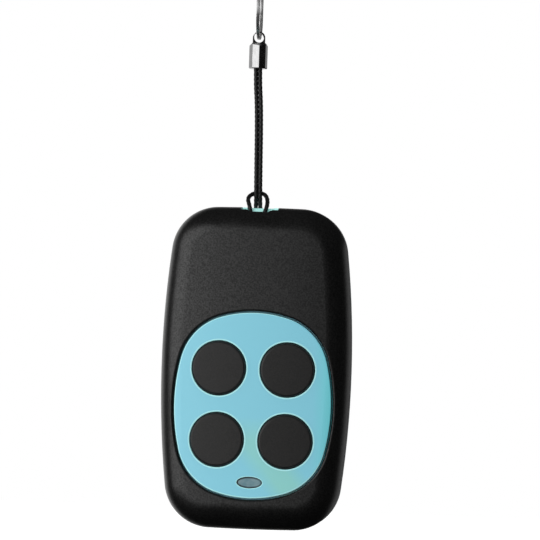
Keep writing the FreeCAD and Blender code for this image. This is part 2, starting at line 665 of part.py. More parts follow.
def make_case_screw(x, z):
    """Pan head self-tapping screw with a cross recess, its head towards the back."""
    head_top = SCREW_SEAT_Y + SCREW_HEAD_HEIGHT
    profile = Part.makePolygon((
        point(0, SCREW_TIP_Y, 0),
        point(SCREW_RADIUS, SCREW_TIP_Y + SCREW_TIP, 0),
        point(SCREW_RADIUS, SCREW_SEAT_Y, 0),
        point(SCREW_HEAD_RADIUS, SCREW_SEAT_Y, 0),
        point(SCREW_HEAD_RADIUS, head_top - SCREW_HEAD_HEIGHT / 2, 0),
        point(SCREW_HEAD_RADIUS / 2, head_top, 0),
        point(0, head_top, 0),
        point(0, SCREW_TIP_Y, 0),
    ))
    screw = Part.Face(profile).revolve(point(0, 0, 0), point(0, 1, 0), 360)
    half_long = CROSS_LENGTH / 2
    half_wide = CROSS_WIDTH / 2
    cross_y = head_top - CROSS_DEPTH
    for half_x, half_z in ((half_long, half_wide), (half_wide, half_long)):
        screw = screw.cut(box(-half_x, half_x, cross_y, head_top + SPARE, -half_z, half_z))
    screw.translate(point(x, 0, z))
    return screw


def make_case_screws():
    return Part.makeCompound([make_case_screw(x, z) for x, z in SCREW_PLACES])


def make_coin_cell():
    """Coin cell: its narrower negative cap faces the board."""
    profile = Part.makePolygon((
        point(0, 0, 0),
        point(CELL_CAP_RADIUS, 0, 0),
        point(CELL_CAP_RADIUS, CELL_CAP_HEIGHT, 0),
        point(CELL_RADIUS - CELL_EDGE, CELL_CAP_HEIGHT, 0),
        point(CELL_RADIUS, CELL_CAP_HEIGHT + CELL_EDGE, 0),
        point(CELL_RADIUS, CELL_HEIGHT - CELL_EDGE, 0),
        point(CELL_RADIUS - CELL_EDGE, CELL_HEIGHT, 0),
        point(0, CELL_HEIGHT, 0),
        point(0, 0, 0),
    ))
    cell = Part.Face(profile).revolve(point(0, 0, 0), point(0, 1, 0), 360)
    cell.translate(point(0, CELL_FRONT_Y, CELL_Z))
    return cell


def make_battery_contact():
    """Flat negative contact under the cell, slotted so that it springs."""
    contact = rod(CONTACT_RADIUS, 0, CELL_Z, BOARD_BACK_Y, CELL_FRONT_Y)
    half = CONTACT_SLOT / 2
    return contact.cut(box(-half, half, -CASE_DEPTH, CASE_DEPTH, CELL_Z - half, FAR))


def make_battery_clip():
    """Bent strip that holds the cell down and is its positive contact."""
    inner_x = CELL_RADIUS + CLIP_SIDE_GAP
    outer_x = inner_x + CLIP_THICKNESS
    foot_x = outer_x + CLIP_FOOT
    low = BOARD_BACK_Y
    foot_y = low + CLIP_THICKNESS
    under_y = CELL_BACK_Y + CLIP_GAP
    over_y = under_y + CLIP_THICKNESS
    right = ((foot_x, low), (inner_x, low), (inner_x, under_y))
    left = [(-x, y) for x, y in reversed(right)]
    outside = ((-foot_x, foot_y), (-outer_x, foot_y), (-outer_x, over_y))
    mirrored = [(-x, y) for x, y in reversed(outside)]
    corners = list(right) + left + list(outside) + mirrored
    places = [point(x, y, CELL_Z - CLIP_WIDTH / 2) for x, y in corners + [corners[0]]]
    return Part.Face(Part.makePolygon(places)).extrude(point(0, 0, CLIP_WIDTH))


def make_chip(length, leads, x):
    """Small chip lying along X with two rows of bent leads."""
    z = CHIP_ROW_Z
    body_low = BOARD_BACK_Y + CHIP_STANDOFF
    body_high = body_low + CHIP_HEIGHT
    half_width = CHIP_WIDTH / 2
    body = box(x - length / 2, x + length / 2, body_low, body_high, z - half_width, z + half_width)
    knee_y = (body_low + body_high) / 2
    foot_y = BOARD_BACK_Y + CHIP_LEAD_THICKNESS
    knee_z = half_width + CHIP_LEAD_REACH / 2
    toe_z = half_width + CHIP_LEAD_REACH
    thick = CHIP_LEAD_THICKNESS
    leads_made = []
    for index in range(leads):
        lead_x = x + (index - (leads - 1) / 2) * CHIP_LEAD_PITCH
        low_x = lead_x - CHIP_LEAD_WIDTH / 2
        high_x = lead_x + CHIP_LEAD_WIDTH / 2
        for side in (-1, 1):
            spans = (
                (knee_y, knee_y + thick, half_width, knee_z),
                (BOARD_BACK_Y, knee_y + thick, knee_z - thick, knee_z),
                (BOARD_BACK_Y, foot_y, knee_z - thick, toe_z),
            )
            for y_low, y_high, inner, outer in spans:
                z_low = min(z + side * inner, z + side * outer)
                z_high = max(z + side * inner, z + side * outer)
                leads_made.append(box(low_x, high_x, y_low, y_high, z_low, z_high))
    return join(body, *leads_made)


def make_crystal_can():
    x, z = CRYSTAL_X, CAN_ROW_Z
    half_length = CRYSTAL_LENGTH / 2
    half_width = CRYSTAL_WIDTH / 2
    top = BOARD_BACK_Y + CRYSTAL_HEIGHT
    flange = CRYSTAL_FLANGE
    base = box(
        x - half_length - flange, x + half_length + flange, BOARD_BACK_Y, BOARD_BACK_Y + flange,
        z - half_width, z + half_width,
    )
    half_can = half_width - flange
    can = box(x - half_length, x + half_length, BOARD_BACK_Y, top, z - half_can, z + half_can)
    upright = [edge for edge in can.Edges if edge.BoundBox.YLength > flange]
    return join(base, can.makeFillet(half_can - flange, upright))


def make_radio_filter():
    x, z = FILTER_X, CAN_ROW_Z
    half = FILTER_SIZE / 2
    lid_half = half - FILTER_LID_INSET
    base_top = BOARD_BACK_Y + FILTER_BASE_HEIGHT
    lid_top = base_top + FILTER_LID_HEIGHT
    base = box(x - half, x + half, BOARD_BACK_Y, base_top, z - half, z + half)
    lid = box(x - lid_half, x + lid_half, base_top, lid_top, z - lid_half, z + lid_half)
    return join(base, lid)


def make_radio_transistor():
    x, z = TRANSISTOR_X, CAN_ROW_Z
    half_length = TRANSISTOR_LENGTH / 2
    half_width = TRANSISTOR_WIDTH / 2
    half_lead = CHIP_LEAD_WIDTH / 2
    lead_y = BOARD_BACK_Y + CHIP_LEAD_THICKNESS
    top = BOARD_BACK_Y + TRANSISTOR_HEIGHT
    reach = half_width + TRANSISTOR_LEAD_REACH
    leads = []
    for lead_z, side in ((z - half_length / 2, -1), (z + half_length / 2, -1), (z, 1)):
        low_x = min(x, x + side * reach)
        leads.append(box(low_x, low_x + reach, BOARD_BACK_Y, lead_y, lead_z - half_lead, lead_z + half_lead))
    body = box(x - half_width, x + half_width, BOARD_BACK_Y, top, z - half_length, z + half_length)
    return join(body, *leads)


def make_small_parts(count, x, height):
    """Row of identical small parts standing on the board, each a separate solid."""
    low_z = SMALL_ROW_Z
    high_z = SMALL_ROW_Z + SMALL_PART_LENGTH
    top = BOARD_BACK_Y + height
    parts = []
    for index in range(count):
        low_x = x + index * SMALL_PART_PITCH
        parts.append(box(low_x, low_x + SMALL_PART_WIDTH, BOARD_BACK_Y, top, low_z, high_z))
    return Part.makeCompound(parts)


def rounded_path(corners, radii):
    """Straight runs joined by tangent arcs of the given radii at the inner corners."""
    edges = []
    start = corners[0]
    for before, corner, after, radius in zip(corners, corners[1:], corners[2:], radii):
        into = (corner - before).normalize()
        out = (after - corner).normalize()
        turn = into.getAngle(out)
        cut = radius * math.tan(turn / 2)
        arc_start = corner - into * cut
        arc_end = corner + out * cut
        bisector = (out - into).normalize()
        centre = corner + bisector * (radius / math.cos(turn / 2))
        arc_middle = centre - bisector * radius
        edges.append(Part.LineSegment(start, arc_start).toShape())
        edges.append(Part.Arc(arc_start, arc_middle, arc_end).toShape())
        start = arc_end
    edges.append(Part.LineSegment(start, corners[-1]).toShape())
    return Part.Wire(edges)


def tube(path, diameter):
    start = path.Vertexes[0].Point
    direction = path.Edges[0].tangentAt(path.Edges[0].FirstParameter)
    ring = Part.Wire(Part.makeCircle(diameter / 2, start, direction))
    return path.makePipeShell([ring], True, False)


def make_antenna_loop():
    """Stiff wire loop standing on the board along its lower edge."""
    low = BOARD_BACK_Y
    high = low + ANTENNA_HEIGHT - ANTENNA_WIRE / 2
    half = ANTENNA_HALF_WIDTH
    corners = [
        point(-half, low, ANTENNA_Z),
        point(-half, high, ANTENNA_Z),
        point(half, high, ANTENNA_Z),
        point(half, low, ANTENNA_Z),
    ]
    return tube(rounded_path(corners, [ANTENNA_BEND, ANTENNA_BEND]), ANTENNA_WIRE)


def rounded_rectangle(half_x, half_z, radius):
    """Closed outline about the origin in the XZ plane."""
    flat_x = half_x - radius
    flat_z = half_z - radius
    slant = radius * math.sqrt(0.5)
    edges = []
    for sign_x, sign_z in ((1, 1), (-1, 1), (-1, -1), (1, -1)):
        side = point(sign_x * half_x, 0, sign_z * flat_z)
        middle = point(sign_x * (flat_x + slant), 0, sign_z * (flat_z + slant))
        end = point(sign_x * flat_x, 0, sign_z * half_z)
        edges.append(Part.Arc(side, middle, end).toShape())
    for sign in (1, -1):
        x = sign * half_x
        z = sign * half_z
        edges.append(Part.LineSegment(point(x, 0, -flat_z), point(x, 0, flat_z)).toShape())
        edges.append(Part.LineSegment(point(-flat_x, 0, z), point(flat_x, 0, z)).toShape())
    return Part.Wire(Part.sortEdges(edges)[0])


def wire_section(angle, x):
    """Section of the split ring's wire, at an angle from the lowest point towards the front."""
    section = rounded_rectangle(RING_WIRE_THICKNESS / 2, RING_WIRE_WIDTH / 2, RING_WIRE_EDGE)
    section.translate(point(x, 0, -RING_MID_RADIUS))
    section.rotate(point(0, 0, 0), point(1, 0, 0), -angle)
    return section


def make_split_ring():
    """Two flat layers of rounded wire, joined by one long sideways step through the lowest point."""
    span = 360 - (RING_STEP_END - RING_STEP_START) - RING_END_GAP
    axis = point(1, 0, 0)
    origin = point(0, 0, 0)
    right = Part.Face(wire_section(RING_STEP_START, RING_LAYER_X)).revolve(origin, axis, span)
    left = Part.Face(wire_section(RING_STEP_END, -RING_LAYER_X)).revolve(origin, axis, -span)
    sections = []
    for index in range(RING_STEP_SECTIONS):
        share = index / (RING_STEP_SECTIONS - 1)
        angle = RING_STEP_START + (RING_STEP_END - RING_STEP_START) * share
        smooth = share * share * (3 - 2 * share)
        sections.append(wire_section(angle, RING_LAYER_X * (1 - 2 * smooth)))
    step = Part.makeLoft(sections, True, False)
    ring = join(right, step, left)
    ring.rotate(origin, point(0, 0, 1), RING_TURN)
    return ring


def polygon_outline(radius, sides, height):
    corners = []
    for index in range(sides + 1):
        angle = 2 * math.pi * index / sides
        corners.append(point(radius * math.cos(angle), radius * math.sin(angle), height))
    return Part.makePolygon(corners)


def rectangle_outline(half_x, half_y, height):
    places = ((-half_x, -half_y), (half_x, -half_y), (half_x, half_y), (-half_x, half_y), (-half_x, -half_y))
    return Part.makePolygon([point(x, y, height) for x, y in places])


def make_crimp_ferrule():
    """Eight-sided crimp with a flat eye on top, its foot at zero height."""
    barrel = Part.Face(polygon_outline(FERRULE_RADIUS, FERRULE_SIDES, 0))
    barrel = barrel.extrude(point(0, 0, FERRULE_SHOULDER_END))
    upright = [edge for edge in barrel.Edges if edge.BoundBox.ZMin < FERRULE_EDGE < edge.BoundBox.ZMax]
    barrel = barrel.makeFillet(FERRULE_CORNER_RADIUS, upright)
    foot = [edge for edge in barrel.Edges if edge.BoundBox.ZMax < FERRULE_EDGE]
    barrel = barrel.makeChamfer(FERRULE_EDGE, foot)
    half_eye = EYE_THICKNESS / 2
    roof = Part.makeLoft([
        rectangle_outline(FERRULE_RADIUS, FERRULE_RADIUS, FERRULE_SHOULDER_START),
        rectangle_outline(EYE_RADIUS, half_eye, FERRULE_SHOULDER_END),
    ], True, True)
    lower = box(-FAR, FAR, -FAR, FAR, -FAR, FERRULE_SHOULDER_START)
    barrel = barrel.common(lower.fuse(roof))
    tab = box(-EYE_RADIUS, EYE_RADIUS, -half_eye, half_eye, FERRULE_SHOULDER_START, EYE_HEIGHT)
    top = Part.makeCylinder(EYE_RADIUS, EYE_THICKNESS, point(0, -half_eye, EYE_HEIGHT), point(0, 1, 0))
    ferrule = join(barrel, tab, top)
    ferrule = ferrule.cut(Part.makeCylinder(
        EYE_HOLE_RADIUS, 2 * EYE_THICKNESS, point(0, -EYE_THICKNESS, EYE_HEIGHT), point(0, 1, 0)
    ))
    bore_radius = CORD_DIAMETER / 2 + FERRULE_BORE_GAP
    starts = (point(-STRAND_X, 0, 0), point(STRAND_X, 0, 0))
    bores = [Part.makeCylinder(bore_radius, FERRULE_BORE_DEPTH, start) for start in starts]
    between = box(-STRAND_X, STRAND_X, -bore_radius, bore_radius, 0, FERRULE_BORE_DEPTH)
    ferrule = ferrule.cut(join(between, *bores))
    ferrule.rotate(point(0, 0, 0), point(0, 0, 1), FERRULE_TURN)
    return ferrule


def cord_route():
    """Route of the cord from one end in the ferrule to the other, zero height at the strap bar."""
    wrap = WRAP_RADIUS
    turn = math.radians(FERRULE_TURN)
    end_x = STRAND_X * math.cos(turn)
    end_y = STRAND_X * math.sin(turn)
    end_z = STRAP_LENGTH + FERRULE_BORE_DEPTH - CORD_END_GAP
    mouth_z = STRAP_LENGTH - BORE_MOUTH_RUN
    hitch_x = STRAP_SIDESTEP + HITCH_SHIFT
    left = (
        (-STRAND_X, 0.0, 5.0),
        (-0.45, wrap, 1.2),
        (-0.75, wrap, -wrap),
        (-1.55, -wrap, -wrap),
        (-1.85, -wrap, 1.0),
        (-1.75, 0.3, 2.9),
        (-0.9, 1.5, 3.5),
    )
    right = [(-x, y, z) for x, y, z in reversed(left)]
    hitch = [point(x + hitch_x, y, z) for x, y, z in list(left) + right]
    start = [point(-end_x, -end_y, end_z), point(-end_x, -end_y, mouth_z)]
    end = [point(end_x, end_y, mouth_z), point(end_x, end_y, end_z)]
    return start + hitch + end


def cord_radii(route):
    radii = []
    for before, corner, after in zip(route, route[1:], route[2:]):
        shorter = min((corner - before).Length, (after - corner).Length)
        turn = (corner - before).getAngle(after - corner)
        radii.append(ARC_SHARE * shorter / math.tan(turn / 2))
    return radii


def make_strap_cord():
    route = cord_route()
    radii = cord_radii(route)
    path = rounded_path(route, radii)
    cord = tube(path, CORD_DIAMETER)
    section = math.pi * (CORD_DIAMETER / 2) ** 2
    print("cord radii", [round(radius, 2) for radius in radii])
    share = cord.Volume / (section * path.Length)
    print("cord length", round(path.Length, 2), "volume over section times length", round(share, 5))
    return cord


def export(name, shape, place):
    placed = shape.copy()
    placed.translate(place)
    placed.exportStep("parts/" + name + ".step")
    print(name, "valid" if placed.isValid() else "INVALID", len(placed.Solids), round(placed.Volume, 2))


def main():
    os.makedirs("parts", exist_ok=True)
    export("split_ring", make_split_ring(), RING_PLACE)
    export("crimp_ferrule", make_crimp_ferrule(), FERRULE_PLACE)
    export("strap_cord", make_strap_cord(), STRAP_PLACE)
    export("front_shell", make_front_shell(), REMOTE_PLACE)
    export("rear_shell", make_rear_shell(), REMOTE_PLACE)
    export("inner_frame", make_inner_frame(), REMOTE_PLACE)
    export("case_screws", make_case_screws(), REMOTE_PLACE)
    export("indicator_lens", make_indicator_lens(), REMOTE_PLACE)
    export("indicator_led", make_indicator_led(), REMOTE_PLACE)
    export("circuit_board", make_circuit_board(), REMOTE_PLACE)
    export("coin_cell", make_coin_cell(), REMOTE_PLACE)
    export("battery_clip", make_battery_clip(), REMOTE_PLACE)
    export("battery_contact", make_battery_contact(), REMOTE_PLACE)
    controller = make_chip(CONTROLLER_LENGTH, CONTROLLER_LEAD_COUNT, CONTROLLER_X)
    export("microcontroller", controller, REMOTE_PLACE)
    export("memory_chip", make_chip(MEMORY_LENGTH, MEMORY_LEAD_COUNT, MEMORY_X), REMOTE_PLACE)
    export("crystal_can", make_crystal_can(), REMOTE_PLACE)
    export("radio_filter", make_radio_filter(), REMOTE_PLACE)
    export("radio_transistor", make_radio_transistor(), REMOTE_PLACE)
    resistors = make_small_parts(RESISTOR_COUNT, RESISTOR_X, RESISTOR_HEIGHT)
    export("chip_resistors", resistors, REMOTE_PLACE)
    capacitors = make_small_parts(CAPACITOR_COUNT, CAPACITOR_X, CAPACITOR_HEIGHT)
    export("chip_capacitors", capacitors, REMOTE_PLACE)
    export("antenna_loop", make_antenna_loop(), REMOTE_PLACE)
    for name, (x, z) in KEY_PLACES.items():
        export("key_" + name, make_key(x, z), REMOTE_PLACE)
        export("switch_base_" + name, make_switch_base(x, z), REMOTE_PLACE)
        export("switch_cover_" + name, make_switch_cover(x, z), REMOTE_PLACE)
        export("switch_plunger_" + name, make_switch_plunger(x, z), REMOTE_PLACE)


main()
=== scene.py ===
import math

import bpy
from mathutils import Matrix, Vector


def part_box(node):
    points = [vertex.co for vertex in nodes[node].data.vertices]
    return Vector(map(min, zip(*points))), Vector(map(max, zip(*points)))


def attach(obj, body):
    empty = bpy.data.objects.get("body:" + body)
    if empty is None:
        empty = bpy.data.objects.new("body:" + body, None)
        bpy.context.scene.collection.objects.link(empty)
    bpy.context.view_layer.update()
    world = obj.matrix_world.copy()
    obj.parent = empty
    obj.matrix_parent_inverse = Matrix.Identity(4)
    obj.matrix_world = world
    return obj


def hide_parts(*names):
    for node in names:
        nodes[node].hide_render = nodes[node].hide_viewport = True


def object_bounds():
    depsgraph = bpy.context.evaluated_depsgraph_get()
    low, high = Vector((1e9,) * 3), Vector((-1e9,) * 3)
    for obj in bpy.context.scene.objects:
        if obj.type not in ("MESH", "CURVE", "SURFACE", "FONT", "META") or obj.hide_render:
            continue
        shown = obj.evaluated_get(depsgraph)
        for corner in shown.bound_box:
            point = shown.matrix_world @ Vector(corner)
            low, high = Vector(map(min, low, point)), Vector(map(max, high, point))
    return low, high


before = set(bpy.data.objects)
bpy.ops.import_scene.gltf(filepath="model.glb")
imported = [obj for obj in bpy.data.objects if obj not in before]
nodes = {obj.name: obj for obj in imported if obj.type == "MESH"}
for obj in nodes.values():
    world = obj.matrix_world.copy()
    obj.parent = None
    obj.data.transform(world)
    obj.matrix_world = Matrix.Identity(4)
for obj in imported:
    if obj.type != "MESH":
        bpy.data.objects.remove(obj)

cad_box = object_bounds()

MM = 0.001

# Camera, fitted to the places of the keys, the lens and the case's outline in the photograph
CAMERA_DISTANCE = 0.6
CAMERA_YAW = math.radians(5.54)
CAMERA_RISE = math.radians(1.54)
CAMERA_ROLL = math.radians(1.83)
CAMERA_AIM_X = 0.0015
CAMERA_AIM_Z = -0.0503
CAMERA_AIM_RIGHT = 0.00207
CAMERA_AIM_UP = -0.00007
FOCAL_IN_FRAMES = 5.77
SENSOR_WIDTH = 36.0
NEAREST_SEEN = 0.01
FURTHEST_SEEN = 20.0

# Light: the ambient one grows towards its own side, and mirrors see a dark room with one bright side
AMBIENT_BELOW = 0.22
AMBIENT_ABOVE = 1.14
AMBIENT_SIDE = (-0.4, -0.2, 0.89)
ROOM_GREY = 0.006
BRIGHT_SIDE = (-0.5, 0.87, 0.0)
BRIGHT_START = 0.72
BRIGHT_FULL = 0.99
WHITE = (1.0, 1.0, 1.0, 1.0)

# Floor
FLOOR_DROP = 0.6
FLOOR_SIZE = 24.0
FLOOR_PALE = (0.8, 0.8, 0.8, 1.0)
FLOOR_SEEN = (1.12, 1.12, 1.12, 1.0)

# Soft-touch black: the least and most gloss of its grain
GRAIN_GLOSS = (0.47, 0.83)

# Teal plate: lips are the hidden flanges of keys and lens; the pale lines round their holes are painted
# highlights
KEY_LIP = 0.8 * MM
LENS_LIP = 0.45 * MM
KEY_HIGHLIGHT = 0.36 * MM
LENS_HIGHLIGHT = 0.14 * MM
HIGHLIGHT_FADE = 0.16 * MM
STREAK_LEAN = 0.86
STREAK_HALF = 1.8 * MM
STREAK_RISE = 4.5 * MM
STREAK_PATCHES = (0.4, 0.6)
# The plate's right side turns a more saturated teal over this width, painted shade
RIGHT_SHADE_WIDTH = 4 * MM
# The strap bar's paler mint, a painted highlight, fades in between these depths below the case's top
BAR_HIGHLIGHT_START = 8 * MM
BAR_HIGHLIGHT_END = 4 * MM

# Lens: the width of the painted shade round its face, and how much of that shade is left at the right
LENS_SHADE_WIDTH = 0.3 * MM
LENS_SHADE_AT_RIGHT = 0.6

# How far the surface is turned, as one part of its normal, where a change of the teal starts and ends:
# painted highlights on its rounded edges, left off where they turn right, and painted shade on gap walls
TURNED_RIGHT = (0.1, 0.4)
ROUNDED_SIDE = (-0.94, -0.84)
ROUNDED_BELOW = (-0.2, -0.06)
GAP_WALL = (-0.56, -0.36)

# Inner pieces
MOTTLE_SHADE = 0.88
BRUSHED_SMOOTHER = 0.06
BRUSHED_ROUGHER = 0.08
BOARD_WEAVE = 3.2 * MM

# Strap cord and its braid; the powers round off a strand across and along itself
CORD_DIAMETER = 0.86 * MM
SPLINE_STEPS = 24
BRAID_CARRIERS = 4
BRAID_PITCH = 0.9 * MM
BRAID_RELIEF = 0.07 * MM
BRAID_SIDES = 40
BRAID_STEP = 0.08 * MM
STRAND_POWER_ACROSS = 0.8
STRAND_POWER_ALONG = 0.35

# Cord's route, in millimetres: how far a strand's middle stands from the ferrule's axis, the strap bar's
# height, the turn of the ferrule, and the heights above the bar of the two points inside the ferrule
STRAND_X = 0.4
STRAP_BAR_Z = -39.35
FERRULE_TURN = math.radians(11)
FERRULE_HEIGHTS = (31.5, 25.7)


# Camera

def aim_camera():
    """Camera at the photograph's angle: a little to the right of the front, looking up by a touch."""
    yaw, rise = CAMERA_YAW, CAMERA_RISE
    forward = Vector((-math.sin(yaw) * math.cos(rise), math.cos(yaw) * math.cos(rise), math.sin(rise)))
    right = Vector((math.cos(yaw), math.sin(yaw), 0.0))
    up = right.cross(forward)
    target = Vector((CAMERA_AIM_X, 0.0, CAMERA_AIM_Z)) + CAMERA_AIM_RIGHT * right + CAMERA_AIM_UP * up
    data = bpy.data.cameras.new("photo_camera")
    data.sensor_width = SENSOR_WIDTH
    data.lens = FOCAL_IN_FRAMES * SENSOR_WIDTH
    data.clip_start = NEAREST_SEEN
    data.clip_end = FURTHEST_SEEN
    camera = bpy.data.objects.new("photo_camera", data)
    bpy.context.scene.collection.objects.link(camera)
    axes = Matrix((right, up, -forward)).transposed()
    turn = Matrix.Rotation(CAMERA_ROLL, 3, "Z")
    camera.matrix_world = Matrix.Translation(target - CAMERA_DISTANCE * forward) @ (axes @ turn).to_4x4()
    bpy.context.scene.camera = camera


# Light and background

def camera_like_rays(tree):
    """1 for rays from the camera, a mirror or a clear solid, and 0 for light that falls on a surface."""
    path = tree.nodes.new("ShaderNodeLightPath")
    first = tree.nodes.new("ShaderNodeMath")
    first.operation = "MAXIMUM"
    second = tree.nodes.new("ShaderNodeMath")
    second.operation = "MAXIMUM"
    tree.links.new(path.outputs["Is Camera Ray"], first.inputs[0])
    tree.links.new(path.outputs["Is Glossy Ray"], first.inputs[1])
    tree.links.new(first.outputs[0], second.inputs[0])
    tree.links.new(path.outputs["Is Transmission Ray"], second.inputs[1])
    return second.outputs[0]


def add_lamp(name, azimuth, elevation, distance, width, height, watts):
    """Soft rectangular lamp that faces the middle of the remote, at an azimuth counted from the front."""
    low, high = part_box("front_shell")
    middle = (low + high) / 2
    turn, rise = math.radians(azimuth), math.radians(elevation)
    away = Vector((math.sin(turn) * math.cos(rise), -math.cos(turn) * math.cos(rise), math.sin(rise)))
    data = bpy.data.lights.new(name, "AREA")
    data.shape = "RECTANGLE"
    data.size = width
    data.size_y = height
    data.energy = watts
    lamp = bpy.data.objects.new(name, data)
    lamp.visible_camera = False
    bpy.context.scene.collection.objects.link(lamp)
    lamp.location = middle + distance * away
    lamp.rotation_euler = (-away).to_track_quat("-Z", "Y").to_euler()


def toward(tree, side, start, end, low, high):
    """A level that rises as a direction of the world turns towards one side."""
    place = tree.nodes.new("ShaderNodeTexCoord")
    lean = tree.nodes.new("ShaderNodeVectorMath")
    lean.operation = "DOT_PRODUCT"
    lean.inputs[1].default_value = side
    level = tree.nodes.new("ShaderNodeMapRange")
    level.interpolation_type = "SMOOTHSTEP"
    for name, value in (("From Min", start), ("From Max", end), ("To Min", low), ("To Max", high)):
        level.inputs[name].default_value = value
    tree.links.new(place.outputs["Generated"], lean.inputs[0])
    tree.links.new(lean.outputs["Value"], level.inputs["Value"])
    return level.outputs[0]


def light_world():
    """White to the camera all round. Mirrors see white behind the object and a dark room before it."""
    world = bpy.data.worlds.new("studio")
    bpy.context.scene.world = world
    world.use_nodes = True
    tree = world.node_tree
    tree.nodes.clear()
    output = tree.nodes.new("ShaderNodeOutputWorld")
    ambient = tree.nodes.new("ShaderNodeBackground")
    ambient.inputs["Color"].default_value = WHITE
    sky = toward(tree, AMBIENT_SIDE, -1.0, 1.0, AMBIENT_BELOW, AMBIENT_ABOVE)
    tree.links.new(sky, ambient.inputs["Strength"])
    room = toward(tree, BRIGHT_SIDE, BRIGHT_START, BRIGHT_FULL, ROOM_GREY, 1.0)
    path = tree.nodes.new("ShaderNodeLightPath")
    shade = tree.nodes.new("ShaderNodeMath")
    shade.operation = "MAXIMUM"
    tree.links.new(path.outputs["Is Camera Ray"], shade.inputs[0])
    tree.links.new(room, shade.inputs[1])
    seen = tree.nodes.new("ShaderNodeBackground")
    seen.inputs["Color"].default_value = WHITE
    tree.links.new(shade.outputs[0], seen.inputs["Strength"])
    mix = tree.nodes.new("ShaderNodeMixShader")
    tree.links.new(camera_like_rays(tree), mix.inputs[0])
    tree.links.new(ambient.outputs[0], mix.inputs[1])
    tree.links.new(seen.outputs[0], mix.inputs[2])
    tree.links.new(mix.outputs[0], output.inputs["Surface"])


def lay_floor():
    """Plain pale floor well below the hanging remote. It runs into the white all round."""
    height = cad_box[0][2] - FLOOR_DROP
    reach = FLOOR_SIZE / 2
    sides = ((-reach, -reach), (reach, -reach), (reach, reach), (-reach, reach))
    corners = [(x, y, height) for x, y in sides]
    data = bpy.data.meshes.new("floor")
    data.from_pydata(corners, [], [(0, 1, 2, 3)])
    floor = bpy.data.objects.new("floor", data)
    bpy.context.scene.collection.objects.link(floor)
    material = bpy.data.materials.new("floor")
    material.use_nodes = True
    tree = material.node_tree
    tree.nodes.clear()
    output = tree.nodes.new("ShaderNodeOutputMaterial")
    surface = tree.nodes.new("ShaderNodeBsdfDiffuse")
    pale = tree.nodes.new("ShaderNodeMix")
    pale.data_type = "RGBA"
    colors = [socket for socket in pale.inputs if socket.type == "RGBA"]
    colors[0].default_value = FLOOR_PALE
    colors[1].default_value = FLOOR_SEEN
    tree.links.new(camera_like_rays(tree), pale.inputs["Factor"])
    tree.links.new([socket for socket in pale.outputs if socket.type == "RGBA"][0], surface.inputs["Color"])
    tree.links.new(surface.outputs[0], output.inputs["Surface"])
    data.materials.append(material)
    floor.visible_diffuse = False
    floor.visible_glossy = False
    floor.visible_shadow = False


# Materials

def srgb(red, green, blue):
    """Colour written as on a screen, 0 to 255, for a shader."""
    linear = []
    for value in (red, green, blue):
        value = value / 255
        linear.append(value / 12.92 if value <= 0.04045 else ((value + 0.055) / 1.055) ** 2.4)
    return (*linear, 1.0)


